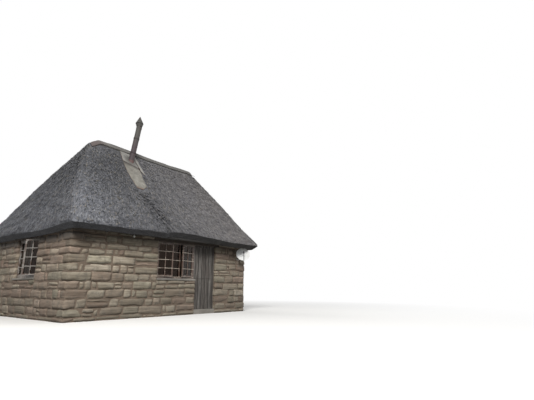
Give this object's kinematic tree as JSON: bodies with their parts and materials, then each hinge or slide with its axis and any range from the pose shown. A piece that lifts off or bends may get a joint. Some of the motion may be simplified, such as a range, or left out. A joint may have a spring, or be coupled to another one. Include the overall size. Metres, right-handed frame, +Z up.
{
  "type": "thatched stone cottage",
  "caption": "Small one-room stone cottage with a hipped thatch roof, a plank stable door, casement windows, a stove flue and a wall dish.",
  "frame": {"origin": "middle of the plan at ground level, which is the middle of the bottom of the bounding box", "axes": "+X along the ridge to the right as seen from the front, +Y from the front wall to the back wall, +Z up"},
  "size_m": [6.54, 5.8, 6.5742],
  "materials": {
    "wall_stone": "roughly squared sandstone in mortar",
    "concrete": "floated and weathered",
    "dark_timber": "sawn and stained",
    "varnished_timber": "worn varnish",
    "weathered_planks": "grey weathered boards",
    "window_glass": "clear",
    "hinge_iron": "black, a little rusted",
    "roof_poles": "debarked poles",
    "thatch_straw": "old grey thatching grass",
    "ridge_mortar": "weathered mortar",
    "flue_steel": "dull grey, rusting",
    "rusted_steel": "rusted",
    "flashing_sheet": "dull galvanised sheet with rust at the edge",
    "dish_white": "white enamel",
    "dish_grey": "grey enamel",
    "lamp_plastic": "matt",
    "lamp_glass": "frosted white"
  },
  "bodies": {
    "hut": {"floor_slab": "concrete", "front_wall_left": "wall_stone", "front_wall_sill": "wall_stone", "front_wall_right": "wall_stone", "left_wall": "wall_stone", "right_wall": "wall_stone", "back_wall": "wall_stone", "lintels": "dark_timber", "window_sills": "concrete", "front_window_frame": "varnished_timber", "front_window_sashes": "varnished_timber", "front_window_glass": "window_glass", "left_window_frame": "varnished_timber", "left_window_sashes": "varnished_timber", "left_window_glass": "window_glass", "right_window_frame": "varnished_timber", "right_window_sashes": "varnished_timber", "right_window_glass": "window_glass", "door_frame": "weathered_planks", "door_threshold": "concrete", "door_hinge_pins": "hinge_iron", "wall_plate": "roof_poles", "ridge_pole": "roof_poles", "rafters_front": "roof_poles", "rafters_back": "roof_poles", "rafters_ends": "roof_poles", "hip_rafters": "roof_poles", "laths_front": "roof_poles", "laths_back": "roof_poles", "laths_ends": "roof_poles", "tie_beams": "roof_poles", "thatch_front": "thatch_straw", "thatch_back": "thatch_straw", "thatch_left_hip": "thatch_straw", "thatch_right_hip": "thatch_straw", "ridge_cap": "ridge_mortar", "flue_pipe": "flue_steel", "flue_cowl": "flue_steel", "flue_collar": "rusted_steel", "flashing_upper": "flashing_sheet", "flashing_lower": "flashing_sheet", "dish_reflector": "dish_white", "dish_feed_arm": "dish_grey", "dish_mount": "dish_grey", "lamp_fitting": "lamp_plastic", "lamp_bulb": "lamp_glass"},
    "top_leaf": {"door_top_leaf": "weathered_planks", "door_top_straps": "hinge_iron"},
    "bottom_leaf": {"door_bottom_leaf": "weathered_planks", "door_bottom_straps": "hinge_iron"}
  },
  "joints": [
    {"name": "top_leaf_hinge", "type": "hinge", "parent": "hut", "child": "top_leaf", "pos_m": [1.597, -2.251, 1.5], "axis": [0, 0, -1], "range_deg": [0, 95]},
    {"name": "bottom_leaf_hinge", "type": "hinge", "parent": "hut", "child": "bottom_leaf", "pos_m": [1.597, -2.251, 0.6], "axis": [0, 0, -1], "range_deg": [0, 95]}
  ]
}
